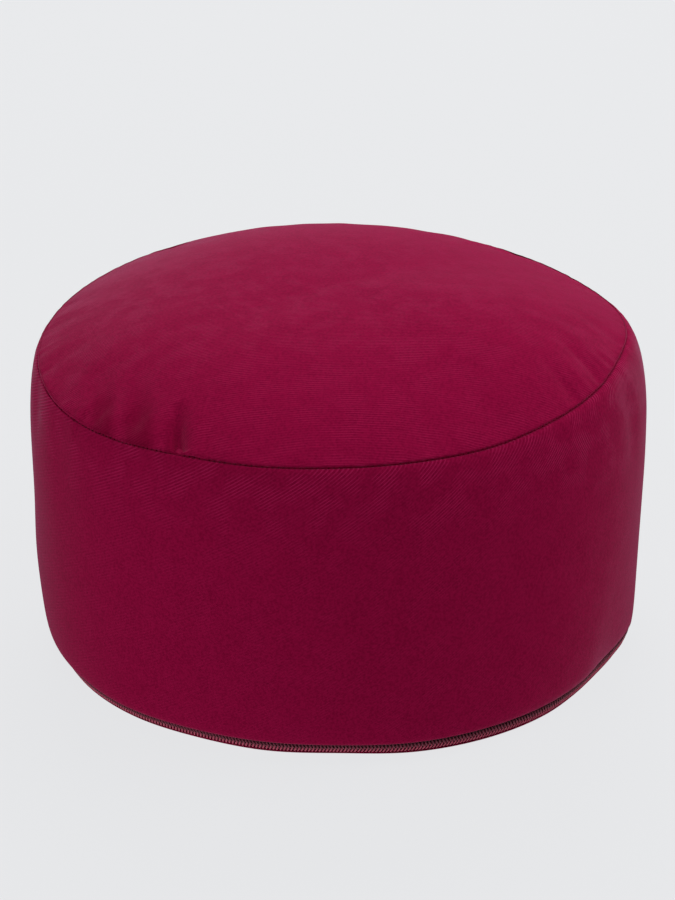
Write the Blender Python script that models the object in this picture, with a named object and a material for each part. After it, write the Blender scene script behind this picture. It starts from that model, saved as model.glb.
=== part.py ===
"""A zafu: a round, firmly filled meditation cushion of cotton twill, zipped round its bottom edge.

Lengths are metres. +Z is up, the cushion lies on z = 0 and is centred on the Z axis. Angles are degrees round
that axis from +X, anticlockwise seen from above, so the front of the cushion is at -90.

Each panel of the cover is a filled solid, parted from its neighbours along the seams. A profile is a list of
(radius, height) pairs in the half plane of one angle. A zip point is (down, out): how far it lies down the zip
from the folded edge of the side band, and how far out of the face that the zip and that edge share.
"""

import math
from typing import NamedTuple

import bmesh
import bpy
from mathutils import Matrix, Vector

MM = 0.001

# Driving sizes of the cushion
WIDEST_RADIUS = 0.1538
WIDEST_SHARE = 0.74
SIDE_TAPER = 0.0024
SIDE_TAPER_POWER = 1.4
TOP_SEAM_RADIUS = 0.1461
TOP_SEAM_HEIGHT = 0.1585
CROWN_RISE = 0.0306
CROWN_FLATNESS = 2.8
FOOT_RADIUS = 0.1335
FOOT_STRAY_TOP = 0.090
TOE_TOP = 0.011
UPPER_SLIMNESS = 0.95

# Driving sizes of the seams
GAP = 0.0003
GROOVE_DEPTH = 0.0020
ROLL_INSET = 0.0005
ROLL_RISE = 0.00035
EDGE_LIFT = 0.0010
FLOOR_PARTING = 0.00345
CLOSING_SEAM_ANGLE = 90.0
CLOSING_SEAM_HALF_WIDTH = 0.6
CLOSING_SEAM_DEPTH = 0.0012

# Driving sizes of the zip
ZIP_START = -210.0
ZIP_END = 30.0
ZIP_TOP_RADIUS = 0.1438
ZIP_TOP_HEIGHT = 0.0093
ZIP_LEAN = 33.0
ZIP_WIDTH = 0.0092
ZIP_MIDDLE = 0.0053
SEAT_DEPTH = 0.0029
TAPE_THICKNESS = 0.0010
CHAIN_WIDTH = 0.0060
COIL_HEIGHT = 0.0016
SLIDER_ANGLE = 24.0
SLIDER_LENGTH = 0.0100
SLIDER_WIDTH = 0.0070
SLIDER_HEIGHT = 0.0030
POST_WIDTH = 0.0014
POST_HEIGHT = 0.0030
CAP_SIZE = (0.0042, 0.0022, 0.0008)
PULL_LENGTH = 0.0200
PULL_WIDTH = 0.0044
PULL_THICKNESS = 0.0011
PULL_EYE = 0.0024
PULL_TILT = 8.0

SLIDER_ROUNDING = 0.0007
CAP_ROUNDING = 0.0002
CAP_SINK = 0.0002

# How finely the round pieces are divided, and how sharp an edge still looks round
STATION_STEP = 3
SIDE_TURNS = (-76, -62, -46, -28, -8, 12, 30, 46, 60, 72, 82)
CROWN_SHARES = (1.0, 0.985, 0.96, 0.92, 0.86, 0.78, 0.68, 0.56, 0.42, 0.26, 0.10)
PULL_END_STEPS = 8
SHARP_ANGLE = 40.0


class EdgePoint(NamedTuple):
    """A point of a panel's edge: its radius and its height over the floor."""

    radius: float
    height: float


class ArchPoint(NamedTuple):
    """A point of a coil's arched back, as shares of its half width and its height."""

    across: float
    up: float


class SeamRow(NamedTuple):
    """How far the top seam strays from a level circle at one angle."""

    angle: float
    out_mm: float
    rise_mm: float


class FootRow(NamedTuple):
    """How the foot differs from a circle at one angle.

    It is out_mm further out, and its zip and sole are toe_mm further out again at the floor. The slimness says how
    slowly the side band widens above it.
    """

    angle: float
    out_mm: float
    toe_mm: float
    slimness: float


class Fold(NamedTuple):
    """A fold of the top panel that leaves the seam at an angle and runs off in a heading."""

    angle: float
    heading: float
    length_mm: float
    width_mm: float
    depth_mm: float


class Dimple(NamedTuple):
    """A soft hollow of the side band, or a soft swelling where its depth is negative."""

    angle: float
    height_mm: float
    width_mm: float
    tall_mm: float
    depth_mm: float


SEAM_ROWS = (
    SeamRow(-180, 2.4, -3.4),
    SeamRow(-165, 3.4, -4.4),
    SeamRow(-150, 3.9, -5.4),
    SeamRow(-135, 2.6, -4.4),
    SeamRow(-120, 1.3, -1.8),
    SeamRow(-105, 0.7, -1.0),
    SeamRow(-90, 0.0, 0.0),
    SeamRow(-75, -0.5, 0.4),
    SeamRow(-60, -1.0, 0.7),
    SeamRow(-45, -2.0, 2.8),
    SeamRow(-30, -3.1, 4.2),
    SeamRow(-15, -4.4, 4.9),
    SeamRow(0, -2.6, 3.6),
    SeamRow(30, -2.6, -1.0),
    SeamRow(60, -1.6, -0.5),
    SeamRow(90, 0.2, 0.3),
    SeamRow(120, 0.9, 0.6),
    SeamRow(150, 1.2, -1.2),
)
FOOT_ROWS = (
    FootRow(-180, 2.6, 0.0, 0.6),
    FootRow(-165, 4.0, 0.0, 0.8),
    FootRow(-150, 4.2, 0.0, 0.8),
    FootRow(-135, 3.3, -0.5, 0.5),
    FootRow(-120, 0.1, 0.0, 0.4),
    FootRow(-105, -1.1, 0.8, 0.4),
    FootRow(-90, -2.0, 0.0, 0.4),
    FootRow(-75, 0.6, 1.5, 0.4),
    FootRow(-60, 0.9, 2.8, 0.45),
    FootRow(-45, 0.9, 2.9, 0.6),
    FootRow(-34, 0.3, 2.2, 0.8),
    FootRow(-25, -0.9, 3.6, 1.0),
    FootRow(-16, 2.6, 2.4, 1.1),
    FootRow(-8, 6.6, 1.5, 1.4),
    FootRow(2, 5.0, 0.8, 1.1),
    FootRow(11, 2.0, 0.2, 0.7),
    FootRow(20, 0.6, 0.0, 0.5),
    FootRow(30, 0.6, 0.0, 0.4),
    FootRow(60, 0.9, 0.0, 0.4),
    FootRow(90, -0.4, 0.0, 0.4),
    FootRow(120, -0.6, 0.0, 0.4),
    FootRow(150, 1.2, 0.0, 0.5),
)
TOP_FOLDS = (
    Fold(-120.8, 93, 34, 6.0, 1.0),
    Fold(-131.3, 92, 46, 7.0, 1.3),
    Fold(-141.5, 92, 32, 8.0, 1.0),
    Fold(-163, 40, 36, 8.0, 1.0),
    Fold(-35, 128, 36, 6.0, 0.9),
    Fold(-25, 136, 30, 6.0, 0.8),
    Fold(-8, 155, 30, 6.0, 0.8),
    Fold(48, 225, 36, 7.0, 1.1),
    Fold(84, 265, 30, 6.0, 0.9),
    Fold(127, 310, 40, 8.0, 1.3),
)
SIDE_DIMPLES = (
    Dimple(-179, 50, 34, 26, -1.4),
    Dimple(-166, 142, 9, 14, 1.3),
    Dimple(-150, 120, 16, 26, 0.8),
    Dimple(-98, 110, 30, 34, -0.5),
    Dimple(-62, 60, 26, 40, 0.6),
    Dimple(-20, 136, 10, 22, 1.2),
    Dimple(-2, 84, 26, 44, -0.8),
    Dimple(40, 90, 24, 40, 0.8),
    Dimple(128, 70, 26, 36, 0.7),
)

CLOSED_BAND_EDGE = (
    EdgePoint(0.1390, 0.00360),
    EdgePoint(0.1396, 0.00365),
    EdgePoint(0.1403, 0.00370),
    EdgePoint(0.1410, 0.00390),
)
CLOSED_FOOT_EDGE = (
    EdgePoint(0.1376, 0.0005),
    EdgePoint(0.1398, 0.0015),
    EdgePoint(0.1407, 0.0026),
    EdgePoint(0.1403, 0.0031),
    EdgePoint(0.1396, 0.0032),
    EdgePoint(0.1390, 0.0033),
)
ZIPPED_FOOT_EDGE = (
    EdgePoint(0.1366, 0.0004),
    EdgePoint(0.1383, 0.0010),
)
COIL_ARCH = (
    ArchPoint(1.0, 0.45),
    ArchPoint(0.65, 0.88),
    ArchPoint(0.0, 1.0),
    ArchPoint(-0.65, 0.88),
    ArchPoint(-1.0, 0.45),
)

TWILL_COLOUR = (0.225, 0.002, 0.028, 1.0)
TAPE_COLOUR = (0.025, 0.004, 0.008, 1.0)
COIL_COLOUR = (0.200, 0.035, 0.060, 1.0)
METAL_COLOUR = (0.220, 0.200, 0.190, 1.0)


def catmull_rom(before, first, second, after, share):
    """A smooth value between first and second."""
    slope_in = (second - before) / 2
    slope_out = (after - first) / 2
    bend = 3 * (second - first) - 2 * slope_in - slope_out
    twist = 2 * (first - second) + slope_in + slope_out
    return first + share * (slope_in + share * (bend + share * twist))


def read_round(rows, column, angle):
    """A column of a table of rows round the cushion, read at any angle."""
    turned = (angle + 180) % 360 - 180
    here = max(i for i, row in enumerate(rows) if row.angle <= turned)
    following = (here + 1) % len(rows)
    span = (rows[following].angle - rows[here].angle) % 360
    values = [getattr(rows[(here + step) % len(rows)], column) for step in (-1, 0, 1, 2)]
    return catmull_rom(*values, (turned - rows[here].angle) / span)


def stray(rows, column, angle):
    """A column in millimetres, read at any angle as metres."""
    return MM * read_round(rows, column, angle)


def seam_radius(angle):
    """Radius of the top seam."""
    return TOP_SEAM_RADIUS + stray(SEAM_ROWS, "out_mm", angle)


def seam_height(angle):
    """Height of the top seam."""
    return TOP_SEAM_HEIGHT + stray(SEAM_ROWS, "rise_mm", angle)


def on_cushion(angle, radius, height):
    """The point at an angle, radius and height, moved out or in where the foot strays from a circle."""
    turn = math.radians(angle)
    inner = min(1.0, radius / FOOT_RADIUS)
    radius += stray(FOOT_ROWS, "out_mm", angle) * max(0.0, 1 - height / FOOT_STRAY_TOP) ** 2 * inner
    radius += stray(FOOT_ROWS, "toe_mm", angle) * max(0.0, 1 - height / TOE_TOP) * inner
    return Vector((radius * math.cos(turn), radius * math.sin(turn), height))


def fold_depth(angle, radius):
    """How far the folds sink the top panel at a place on it."""
    place = Vector((math.cos(math.radians(angle)), math.sin(math.radians(angle)))) * radius
    depth = 0.0
    for fold in TOP_FOLDS:
        turn = math.radians(fold.angle)
        start = Vector((math.cos(turn), math.sin(turn))) * seam_radius(fold.angle)
        heading = Vector((math.cos(math.radians(fold.heading)), math.sin(math.radians(fold.heading))))
        offset = place - start
        along = offset.dot(heading) / (fold.length_mm * MM)
        across = offset.cross(heading) / (fold.width_mm * MM)
        if 0 < along < 1:
            depth += fold.depth_mm * MM * math.sin(math.pi * math.sqrt(along)) * math.exp(-across * across)
    return depth


def dimple_depth(angle, height):
    """How far the dimples sink the side band at a place on it."""
    depth = 0.0
    for dimple in SIDE_DIMPLES:
        turned = (angle - dimple.angle + 180) % 360 - 180
        across = math.radians(turned) * WIDEST_RADIUS / (dimple.width_mm * MM)
        upward = (height - dimple.height_mm * MM) / (dimple.tall_mm * MM)
        depth += dimple.depth_mm * MM * math.exp(-across * across - upward * upward)
    return depth


def on_zip(down, out):
    """Radius and height of a zip point."""
    lean = math.radians(ZIP_LEAN)
    radius = ZIP_TOP_RADIUS - down * math.sin(lean) + out * math.cos(lean)
    return radius, ZIP_TOP_HEIGHT - down * math.cos(lean) - out * math.sin(lean)


def seat_at(height):
    """Radius at which the zip's seat reaches a height."""
    _, seat_height = on_zip(0, -SEAT_DEPTH)
    down = (seat_height - height) / math.cos(math.radians(ZIP_LEAN))
    return on_zip(down, -SEAT_DEPTH)[0]


def stations(start, end):
    """Angles from start to end at the even step, with the closing seam's own where it lies between them."""
    angles = {start, end}
    angles.update(a for a in range(-360, 360, STATION_STEP) if start < a < end)
    for side in (-1, 1):
        edge = CLOSING_SEAM_ANGLE + side * CLOSING_SEAM_HALF_WIDTH
        if start < edge < end:
            angles.add(edge)
    return sorted(angles)


def in_zip(angle):
    """Whether the zip runs past an angle."""
    return ZIP_START <= angle <= ZIP_END or ZIP_START <= angle - 360 <= ZIP_END


def whole_round():
    """The angles of one full turn, from one end of the zip to where it starts again."""
    return stations(ZIP_START, ZIP_START + 360)[:-1]


def top_profile(angle):
    """The top panel from the parting under it, over its rolled edge and up the crown."""
    radius, height = seam_radius(angle), seam_height(angle)
    profile = [(radius - GROOVE_DEPTH, height + GAP / 2), (radius - ROLL_INSET, height + ROLL_RISE)]
    for share in CROWN_SHARES:
        level = TOP_SEAM_HEIGHT + (height - TOP_SEAM_HEIGHT) * share
        rise = EDGE_LIFT + (CROWN_RISE - EDGE_LIFT) * (1 - share**CROWN_FLATNESS)
        profile.append((radius * share, level + rise - fold_depth(angle, radius * share)))
    return profile


def side_bottom(angle):
    """The side band's bottom edge: folded back over the zip's seat, or closed onto the bottom panel."""
    if not in_zip(angle):
        return list(CLOSED_BAND_EDGE)
    parting = FLOOR_PARTING + GAP / 2
    fold_back = [on_zip(-GAP, -SEAT_DEPTH), on_zip(-GAP, -GAP), on_zip(-2 * GAP, 0)]
    return [(seat_at(parting), parting)] + fold_back


def side_profile(angle):
    """The side band from its bottom edge, over its bulge and in to the top seam."""
    profile = side_bottom(angle)
    low_radius, low_height = profile[-1]
    top_radius, top_height = seam_radius(angle), seam_height(angle)
    widest_height = low_height + (top_height - low_height) * WIDEST_SHARE
    slimness = read_round(FOOT_ROWS, "slimness", angle)
    for turn in SIDE_TURNS:
        rise, roundness = math.sin(math.radians(turn)), math.cos(math.radians(turn))
        if rise > 0:
            height = widest_height + (top_height - widest_height) * rise
            radius = top_radius + (WIDEST_RADIUS - top_radius) * roundness**UPPER_SLIMNESS
        else:
            height = widest_height + (widest_height - low_height) * rise
            radius = low_radius + (WIDEST_RADIUS - SIDE_TAPER - low_radius) * roundness**slimness
            radius += SIDE_TAPER * (1 - (-rise) ** SIDE_TAPER_POWER)
        profile.append((radius - dimple_depth(angle, height), height))
    if angle == CLOSING_SEAM_ANGLE:
        profile = [(radius - CLOSING_SEAM_DEPTH, height) for radius, height in profile]
    profile.append((top_radius - ROLL_INSET, top_height - ROLL_RISE))
    profile.append((top_radius - GROOVE_DEPTH, top_height - GAP / 2))
    return profile


def bottom_profile(angle):
    """The bottom panel from its flat foot, round its edge and in to the parting above it."""
    foot = [(FOOT_RADIUS, 0.0)]
    if not in_zip(angle):
        return foot + list(CLOSED_FOOT_EDGE)
    parting = FLOOR_PARTING - GAP / 2
    edge = ZIP_WIDTH + GAP / 2
    turned_up = [on_zip(edge, -SEAT_DEPTH * share) for share in (0, 0.5, 1)]
    return foot + list(ZIPPED_FOOT_EDGE) + turned_up + [(seat_at(parting) - GAP, parting)]


def loft(name, rings, tips=None):
    """A closed solid through rings of points, ended by a fan at each tip or else by a flat face."""
    mesh = bmesh.new()
    loops = [[mesh.verts.new(point) for point in ring] for ring in rings]
    for lower, upper in zip(loops, loops[1:]):
        for i in range(len(lower)):
            mesh.faces.new((lower[i - 1], lower[i], upper[i], upper[i - 1]))
    if tips is None:
        mesh.faces.new(loops[0])
        mesh.faces.new(loops[-1])
    else:
        for tip, ring in zip(tips, (loops[0], loops[-1])):
            centre = mesh.verts.new(tip)
            for i in range(len(ring)):
                mesh.faces.new((centre, ring[i - 1], ring[i]))
    bmesh.ops.recalc_face_normals(mesh, faces=mesh.faces)
    return keep_mesh(name, mesh)


def keep_mesh(name, mesh):
    """An object in the cushion's collection that holds a bmesh, shaded smooth but for its sharp edges."""
    data = bpy.data.meshes.new(name)
    mesh.to_mesh(data)
    mesh.free()
    data.shade_smooth()
    data.set_sharp_from_angle(angle=math.radians(SHARP_ANGLE))
    piece = bpy.data.objects.new(name, data)
    bpy.data.collections["zafu_meditation_cushion"].objects.link(piece)
    return piece


def round_piece(name, profile_at, low_tip, high_tip):
    """A filled panel, lofted through the profile that belongs to each angle."""
    angles = whole_round()
    profiles = [profile_at((angle + 180) % 360 - 180) for angle in angles]
    rings = []
    for level in range(len(profiles[0])):
        rings.append([on_cushion(a, *profile[level]) for a, profile in zip(angles, profiles)])
    return loft(name, rings, (on_cushion(0, 0, low_tip), on_cushion(0, 0, high_tip)))


def zip_strip(name, start, end, section):
    """A strip of the zip with one section of zip points, run from start to end."""
    rings = [[on_cushion(angle, *on_zip(*point)) for point in section] for angle in stations(start, end)]
    return loft(name, rings)


def tape_section(top, bottom):
    """The flat section of a tape, one gap above its seat."""
    inner = GAP - SEAT_DEPTH
    outer = inner + TAPE_THICKNESS
    return [(top, inner), (bottom, inner), (bottom, outer), (top, outer)]


def coil_section(top, bottom):
    """The low arched section of a coil, one gap above its tape."""
    base = 2 * GAP + TAPE_THICKNESS - SEAT_DEPTH
    middle, half = (top + bottom) / 2, (bottom - top) / 2
    back = [(middle + half * point.across, base + COIL_HEIGHT * point.up) for point in COIL_ARCH]
    return [(top, base), (bottom, base)] + back


def zip_frame(angle, down, out, tilt=0.0):
    """A placing at a zip point: X runs back along the zip, Y down it and Z out of it."""
    turn, lean = math.radians(angle), math.radians(ZIP_LEAN)
    outward = Vector((math.cos(turn), math.sin(turn), 0))
    back = Vector((math.sin(turn), -math.cos(turn), 0))
    down_axis = -outward * math.sin(lean) - Vector((0, 0, math.cos(lean)))
    out_axis = back.cross(down_axis)
    axes = Matrix((back, down_axis, out_axis)).transposed().to_4x4()
    place = Matrix.Translation(on_cushion(angle, *on_zip(down, out)))
    return place @ axes @ Matrix.Rotation(math.radians(tilt), 4, "Y")


def box(name, size, centre, bevel=0.0):
    """A box in the slider's own frame, its edges rounded where a bevel is given."""
    mesh = bmesh.new()
    bmesh.ops.create_cube(mesh, size=1.0)
    bmesh.ops.scale(mesh, vec=size, verts=mesh.verts)
    bmesh.ops.translate(mesh, vec=centre, verts=mesh.verts)
    if bevel:
        bmesh.ops.bevel(mesh, geom=mesh.edges[:], offset=bevel, segments=2, profile=0.5, affect="EDGES")
    return keep_mesh(name, mesh)


def apply_modifiers(piece):
    """Turns a piece into the mesh that its modifiers give."""
    shown = piece.evaluated_get(bpy.context.evaluated_depsgraph_get())
    piece.data = bpy.data.meshes.new_from_object(shown)
    piece.modifiers.clear()


def make_slider():
    """The slider: a rounded body over the tapes, with a capped post that holds the pull."""
    floor = 2 * GAP + TAPE_THICKNESS - SEAT_DEPTH
    middle = SLIDER_HEIGHT / 2
    body = box("zip_slider", (SLIDER_LENGTH, SLIDER_WIDTH, SLIDER_HEIGHT), (0, 0, middle), SLIDER_ROUNDING)
    post_size = (POST_WIDTH, POST_WIDTH, POST_HEIGHT + middle)
    post = box("slider_post", post_size, (0, 0, SLIDER_HEIGHT + (POST_HEIGHT - middle) / 2))
    cap_height = SLIDER_HEIGHT + POST_HEIGHT - CAP_SINK
    cap = box("slider_cap", CAP_SIZE, (0, 0, cap_height), CAP_ROUNDING)
    for tool in (post, cap):
        join = body.modifiers.new(tool.name, "BOOLEAN")
        join.operation = "UNION"
        join.object = tool
    bpy.context.view_layer.update()
    apply_modifiers(body)
    for tool in (post, cap):
        bpy.data.objects.remove(tool)
    body.matrix_world = zip_frame(SLIDER_ANGLE, ZIP_MIDDLE, floor)
    return body


def make_pull():
    """The pull: a flat tab with round ends and an eye round the slider's post, lying back over the coils."""
    outline = bpy.data.curves.new("zip_pull_outline", "CURVE")
    outline.dimensions = "2D"
    outline.fill_mode = "BOTH"
    outline.extrude = PULL_THICKNESS / 2
    half, eye = PULL_WIDTH / 2, PULL_EYE / 2
    far = PULL_LENGTH - PULL_WIDTH
    turns = [math.pi * step / PULL_END_STEPS for step in range(PULL_END_STEPS + 1)]
    near_end = [(-half * math.sin(t), -half * math.cos(t)) for t in turns]
    far_end = [(far + half * math.sin(t), half * math.cos(t)) for t in turns]
    hole = [(eye * math.cos(2 * t), eye * math.sin(2 * t)) for t in turns[:-1]]
    for points in (near_end + far_end, hole):
        spline = outline.splines.new("POLY")
        spline.points.add(len(points) - 1)
        spline.use_cyclic_u = True
        for point, (x, y) in zip(spline.points, points):
            point.co = (x, y, 0, 1)
    flat = bpy.data.objects.new("zip_pull_outline", outline)
    bpy.data.collections["zafu_meditation_cushion"].objects.link(flat)
    bpy.context.view_layer.update()
    shown = flat.evaluated_get(bpy.context.evaluated_depsgraph_get())
    mesh = bmesh.new()
    mesh.from_mesh(bpy.data.meshes.new_from_object(shown))
    bmesh.ops.remove_doubles(mesh, verts=mesh.verts, dist=MM / 100)
    bmesh.ops.recalc_face_normals(mesh, faces=mesh.faces)
    bpy.data.objects.remove(flat)
    pull = keep_mesh("zip_pull", mesh)
    rest = 3 * GAP + TAPE_THICKNESS - SEAT_DEPTH + SLIDER_HEIGHT + PULL_THICKNESS
    pull.matrix_world = zip_frame(SLIDER_ANGLE, ZIP_MIDDLE, rest, PULL_TILT)
    return pull


def paint(piece, colour, roughness, metallic=0.0):
    """Gives a piece its own material."""
    material = bpy.data.materials.new(piece.name)
    material.use_nodes = True
    shader = material.node_tree.nodes["Principled BSDF"]
    shader.inputs["Base Color"].default_value = colour
    shader.inputs["Roughness"].default_value = roughness
    shader.inputs["Metallic"].default_value = metallic
    piece.data.materials.clear()
    piece.data.materials.append(material)


def clear_scene():
    """Removes the objects that the file opened with."""
    for old in list(bpy.data.objects):
        bpy.data.objects.remove(old)


def make_cover():
    """The three filled panels of twill."""
    low, high = FLOOR_PARTING - GAP / 2, FLOOR_PARTING + GAP / 2
    under, over = TOP_SEAM_HEIGHT - GAP / 2, TOP_SEAM_HEIGHT + GAP / 2
    crown = TOP_SEAM_HEIGHT + CROWN_RISE
    panels = (
        round_piece("top_panel", top_profile, over, crown),
        round_piece("side_band", side_profile, high, under),
        round_piece("bottom_panel", bottom_profile, 0, low),
    )
    for panel in panels:
        paint(panel, TWILL_COLOUR, 0.9)


def make_zip():
    """Two tapes, the coil on each, the slider and its pull."""
    end_gap = math.degrees(GAP / ZIP_TOP_RADIUS)
    start, end = ZIP_START + end_gap, ZIP_END - end_gap
    coil_end = SLIDER_ANGLE - math.degrees(SLIDER_LENGTH / 2 / ZIP_TOP_RADIUS) - 2 * end_gap
    upper, lower = ZIP_MIDDLE - GAP / 2, ZIP_MIDDLE + GAP / 2
    coil_top, coil_bottom = ZIP_MIDDLE - CHAIN_WIDTH / 2, ZIP_MIDDLE + CHAIN_WIDTH / 2
    tapes = (
        zip_strip("zip_tape_upper", start, end, tape_section(GAP / 2, upper)),
        zip_strip("zip_tape_lower", start, end, tape_section(lower, ZIP_WIDTH - GAP / 2)),
    )
    coils = (
        zip_strip("zip_coil_upper", start, coil_end, coil_section(coil_top, upper)),
        zip_strip("zip_coil_lower", start, coil_end, coil_section(lower, coil_bottom)),
    )
    for tape in tapes:
        paint(tape, TAPE_COLOUR, 0.85)
    for coil in coils:
        paint(coil, COIL_COLOUR, 0.5)
    for metal in (make_slider(), make_pull()):
        paint(metal, METAL_COLOUR, 0.35, 1.0)


def main():
    """Builds the cushion in a collection of its own."""
    clear_scene()
    collection = bpy.data.collections.new("zafu_meditation_cushion")
    bpy.context.scene.collection.children.link(collection)
    make_cover()
    make_zip()


main()
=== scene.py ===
"""The looks of a zafu: a round, firmly filled meditation cushion of burgundy twill, zipped at its foot.

Lengths are metres, and angles are degrees round +Z from +X, so the front of the cushion is at -90. An array
of places holds one row for each level of a profile and one column for each angle. A zip place is (down, out):
how far it lies down the zip from the side band's folded edge, and how far out of the face that both edges
share.
"""

import logging
import math
from dataclasses import dataclass
from enum import Enum
from typing import Any, NamedTuple

import bpy
import numpy as np
from mathutils import Matrix, Vector


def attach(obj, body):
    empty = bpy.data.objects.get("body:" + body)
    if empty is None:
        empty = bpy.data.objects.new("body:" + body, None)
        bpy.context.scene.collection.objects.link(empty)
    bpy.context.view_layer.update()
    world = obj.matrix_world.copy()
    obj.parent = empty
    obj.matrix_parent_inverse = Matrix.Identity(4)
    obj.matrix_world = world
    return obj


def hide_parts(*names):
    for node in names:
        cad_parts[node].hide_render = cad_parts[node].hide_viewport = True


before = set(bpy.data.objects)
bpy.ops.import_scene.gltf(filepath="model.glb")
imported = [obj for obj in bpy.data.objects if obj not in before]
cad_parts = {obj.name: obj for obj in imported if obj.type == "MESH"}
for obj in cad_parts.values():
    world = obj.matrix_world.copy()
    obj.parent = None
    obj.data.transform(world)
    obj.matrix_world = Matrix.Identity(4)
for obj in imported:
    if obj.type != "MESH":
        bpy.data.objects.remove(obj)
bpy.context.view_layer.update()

LOG = logging.getLogger("zafu")
MM = 0.001
BODY = "root"

Array = np.ndarray
Colour = tuple[float, float, float]


class SeamRow(NamedTuple):
    """How far the top seam strays from a level circle at one angle."""

    angle: float
    out_mm: float
    rise_mm: float


class FootRow(NamedTuple):
    """How the foot differs from a circle at one angle.

    It is out_mm further out, and its zip and sole are toe_mm further out again at the floor. The slimness
    says how slowly the side band widens above it.
    """

    angle: float
    out_mm: float
    toe_mm: float
    slimness: float


class Fold(NamedTuple):
    """A fold of the top panel that leaves the seam at an angle and runs off in a heading.

    A larger power gives it steeper walls, and a larger onset starts it more gently at the seam.
    """

    angle: float
    heading: float
    length_mm: float
    width_mm: float
    depth_mm: float
    power: float
    onset: float = 0.5


class Dimple(NamedTuple):
    """A soft hollow of the side band, or a soft swelling where its depth is negative."""

    angle: float
    height_mm: float
    width_mm: float
    tall_mm: float
    depth_mm: float


SEAM_ROWS = (
    SeamRow(-180, 2.4, -3.4),
    SeamRow(-165, 3.4, -4.4),
    SeamRow(-150, 3.9, -5.4),
    SeamRow(-135, 2.6, -4.4),
    SeamRow(-120, 1.3, -1.8),
    SeamRow(-105, 0.7, -1.0),
    SeamRow(-90, 0.0, 0.0),
    SeamRow(-75, -0.5, 0.4),
    SeamRow(-60, -1.0, 0.7),
    SeamRow(-45, -2.0, 2.8),
    SeamRow(-30, -3.1, 4.2),
    SeamRow(-15, -4.4, 4.9),
    SeamRow(0, -2.6, 3.6),
    SeamRow(30, -2.6, -1.0),
    SeamRow(60, -1.6, -0.5),
    SeamRow(90, 0.2, 0.3),
    SeamRow(120, 0.9, 0.6),
    SeamRow(150, 1.2, -1.2),
)
FOOT_ROWS = (
    FootRow(-180, 2.6, 0.0, 0.6),
    FootRow(-165, 4.0, 0.0, 0.8),
    FootRow(-150, 4.2, 0.0, 0.8),
    FootRow(-135, 3.3, -0.5, 0.5),
    FootRow(-120, 0.1, 0.0, 0.4),
    FootRow(-105, -1.1, 0.8, 0.4),
    FootRow(-90, -2.0, 0.0, 0.4),
    FootRow(-75, 0.6, 1.5, 0.4),
    FootRow(-60, 0.9, 2.8, 0.45),
    FootRow(-45, 0.9, 2.9, 0.6),
    FootRow(-34, 0.3, 2.2, 0.8),
    FootRow(-25, -0.9, 3.6, 1.0),
    FootRow(-16, 2.6, 2.4, 1.1),
    FootRow(-8, 6.6, 1.5, 1.4),
    FootRow(2, 5.0, 0.8, 1.1),
    FootRow(11, 2.0, 0.2, 0.7),
    FootRow(20, 0.6, 0.0, 0.5),
    FootRow(30, 0.6, 0.0, 0.4),
    FootRow(60, 0.9, 0.0, 0.4),
    FootRow(90, -0.4, 0.0, 0.4),
    FootRow(120, -0.6, 0.0, 0.4),
    FootRow(150, 1.2, 0.0, 0.5),
)
TOP_FOLDS = (
    Fold(-120.2, 93, 30, 3.0, 5.4, 1.7),
    Fold(-116.4, 93, 30, 5.0, -0.8, 2.0),
    Fold(-129.4, 92, 56, 5.4, 1.2, 2.0, 0.65),
    Fold(-139.5, 92, 60, 7.0, 0.9, 2.0, 0.75),
    Fold(-154, 80, 46, 8.0, 0.9, 2.0),
    Fold(-166, 40, 46, 9.0, 0.8, 2.0),
    Fold(-37, 128, 34, 3.8, 1.1, 2.0),
    Fold(-32, 131, 30, 3.4, -0.6, 2.0),
    Fold(-27, 134, 32, 3.6, 1.1, 2.0),
    Fold(-22, 137, 28, 3.4, -0.5, 2.0),
    Fold(-8, 155, 30, 6.0, 1.0, 2.0),
    Fold(48, 225, 36, 7.0, 1.3, 2.0),
    Fold(84, 265, 30, 6.0, 1.1, 2.0),
    Fold(127, 310, 40, 8.0, 1.5, 2.0),
)
SIDE_DIMPLES = (
    Dimple(-179, 50, 34, 26, -1.4),
    Dimple(-166, 142, 9, 14, 1.3),
    Dimple(-150, 120, 16, 26, 0.8),
    Dimple(-98, 110, 30, 34, -0.5),
    Dimple(-62, 60, 26, 40, 0.6),
    Dimple(-20, 136, 10, 22, 1.2),
    Dimple(-2, 84, 26, 44, -0.8),
    Dimple(40, 90, 24, 40, 0.8),
    Dimple(128, 70, 26, 36, 0.7),
)


class ColumnRow(NamedTuple):
    """Where the cover's columns lie closer together, and by how many times more of them."""

    angle: float
    half_width: float
    extra: float


class Shoulder(NamedTuple):
    """Where the whole top panel falls more steeply to the seam."""

    angle: float
    half_width: float
    extra: float


class Swell(NamedTuple):
    """Where the top panel swells just inside the seam, or sinks if its rise is negative."""

    angle: float
    half_width: float
    rise_mm: float


class PinchShade(NamedTuple):
    """Where painted shade darkens the top panel at its folds, from the front of the seam straight back."""

    x_mm: float
    half_width_mm: float
    length_mm: float
    share: float


SHOULDERS = (
    Shoulder(-143, 30, 1.0),
    Shoulder(-33, 28, 1.0),
)
SWELLS = (
    Swell(-129.4, 3.3, 1.2),
    Swell(-139.0, 2.8, 0.9),
    Swell(-151, 5.5, 0.7),
    Swell(-124.3, 1.8, -0.4),
)
# Painted shade on the top panel where its folds meet the seam.
PINCH_SHADES = (
    PinchShade(-78.5, 3.0, 24, 0.45),
    PinchShade(-95.0, 7.4, 44, 0.55),
    PinchShade(-112.5, 5.6, 36, 0.50),
)
COLUMN_ROWS = (
    ColumnRow(-127, 21, 1.9),
    ColumnRow(-28, 17, 1.1),
    ColumnRow(90, 3, 3.0),
)


class Lay(Enum):
    """How a panel's twill lies on it."""

    TOP = "wales straight across the cushion"
    BAND = "wales that climb round the side"


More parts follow.
